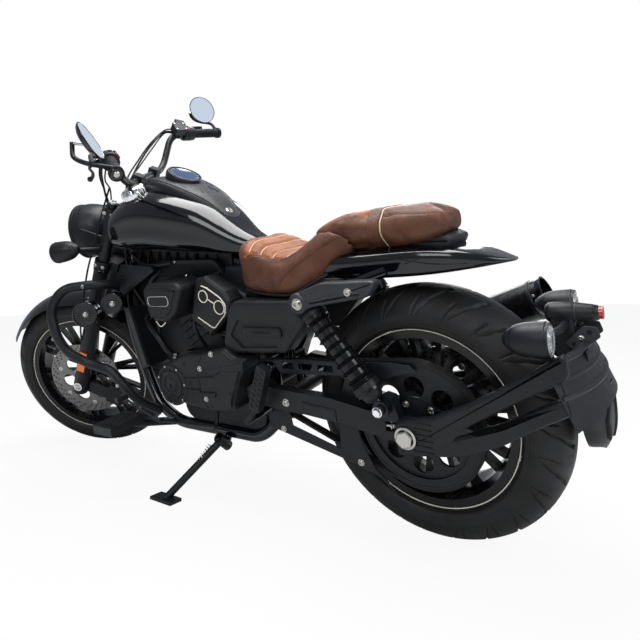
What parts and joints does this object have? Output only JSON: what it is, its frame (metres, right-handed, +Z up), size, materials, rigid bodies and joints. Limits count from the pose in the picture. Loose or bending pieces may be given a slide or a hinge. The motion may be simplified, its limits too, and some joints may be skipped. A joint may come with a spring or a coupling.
{
  "type": "cruiser motorcycle",
  "caption": "Black cruiser motorcycle on its side stand, with a leather seat, belt drive, twin rear shocks, engine guards and turning steering and wheels.",
  "frame": {"origin": "centre of the floor rectangle that the parked machine covers", "axes": "+X forward, +Y to the rider's left, +Z up from the floor"},
  "size_m": [2.1571, 0.9342, 1.4056],
  "materials": {
    "amber": "amber reflector",
    "belt_rubber": "ribbed belt rubber",
    "black_alloy": "satin black cast alloy",
    "black_plastic": "moulded black plastic",
    "cast_grey": "cast grey aluminium",
    "chrome": "polished chrome",
    "clear_lens": "clear fluted plastic",
    "disc_steel": "ground steel",
    "engine_black": "matte black cast aluminium",
    "gauge_glass": "dark smoked glass",
    "gloss_black": "gloss black lacquer",
    "grey_plastic": "moulded dark grey plastic",
    "grip_rubber": "ribbed rubber",
    "matte_black": "matte black powder coat",
    "mirror": "silvered glass",
    "red_lens": "red fluted plastic",
    "seat_leather": "brown grained leather",
    "shock_steel": "gloss black spring steel",
    "tyre": "moulded black rubber"
  },
  "bodies": {
    "rear_wheel": {"rear_tyre": "tyre", "rear_wheel": "black_alloy", "rear_disc": "disc_steel", "belt_pulley": "matte_black"},
    "front_wheel": {"front_tyre": "tyre", "front_wheel": "black_alloy", "front_disc": "disc_steel"},
    "fork": {"fork_legs": "matte_black", "fork_clamps": "matte_black", "front_axle": "chrome", "headlamp": "matte_black", "headlamp_lens": "clear_lens", "handlebar": "matte_black", "grips": "grip_rubber", "hand_controls": "black_plastic", "mirrors": "gloss_black", "mirror_glass": "mirror", "front_signals": "matte_black", "front_signal_lenses": "clear_lens", "front_fender": "gloss_black", "front_caliper": "matte_black", "fork_reflectors": "amber"},
    "stand": {"side_stand": "matte_black"},
    "chassis": {"frame": "gloss_black", "crankcase": "engine_black", "cylinders": "engine_black", "engine_covers": "engine_black", "head_cover": "engine_black", "intake_cover": "engine_black", "radiator": "matte_black", "exhaust": "black_alloy", "drive_belt": "belt_rubber", "fuel_tank": "gloss_black", "instrument": "gauge_glass", "tank_console": "black_plastic", "fuel_caps": "chrome", "rider_seat": "seat_leather", "pillion_seat": "seat_leather", "tail_cowl": "gloss_black", "fender_struts": "cast_grey", "swingarm": "matte_black", "rear_shocks": "shock_steel", "side_covers": "black_plastic", "neck_covers": "black_plastic", "belt_guards": "matte_black", "engine_guard": "matte_black", "mudguard_arms": "matte_black", "mud_flap": "grey_plastic", "rear_mudguard": "grey_plastic", "rear_signals": "matte_black", "rear_signal_lenses": "clear_lens", "tail_lamp": "matte_black", "tail_lens": "red_lens", "horns": "gloss_black", "foot_controls": "matte_black", "passenger_pegs": "matte_black", "rear_caliper": "matte_black"}
  },
  "joints": [
    {"name": "steering", "type": "hinge", "parent": "chassis", "child": "fork", "pos_m": [0.45403, -0.01987, 0.7642], "axis": [-0.4973, 0.156, 0.8535], "range_deg": [-54, 0]},
    {"name": "front_wheel_spin", "type": "hinge", "parent": "fork", "child": "front_wheel", "pos_m": [0.77361, -0.07867, 0.30617], "axis": [-0.395, 0.8351, -0.3828], "continuous": true},
    {"name": "rear_wheel_spin", "type": "hinge", "parent": "chassis", "child": "rear_wheel", "pos_m": [-0.67828, -0.10345, 0.3164], "axis": [-0.0012, 0.9836, -0.1805], "continuous": true},
    {"name": "side_stand", "type": "hinge", "parent": "chassis", "child": "stand", "pos_m": [-0.02431, -0.00102, 0.16101], "axis": [0.0043, 0.775, 0.6319], "range_deg": [0, 98]}
  ]
}
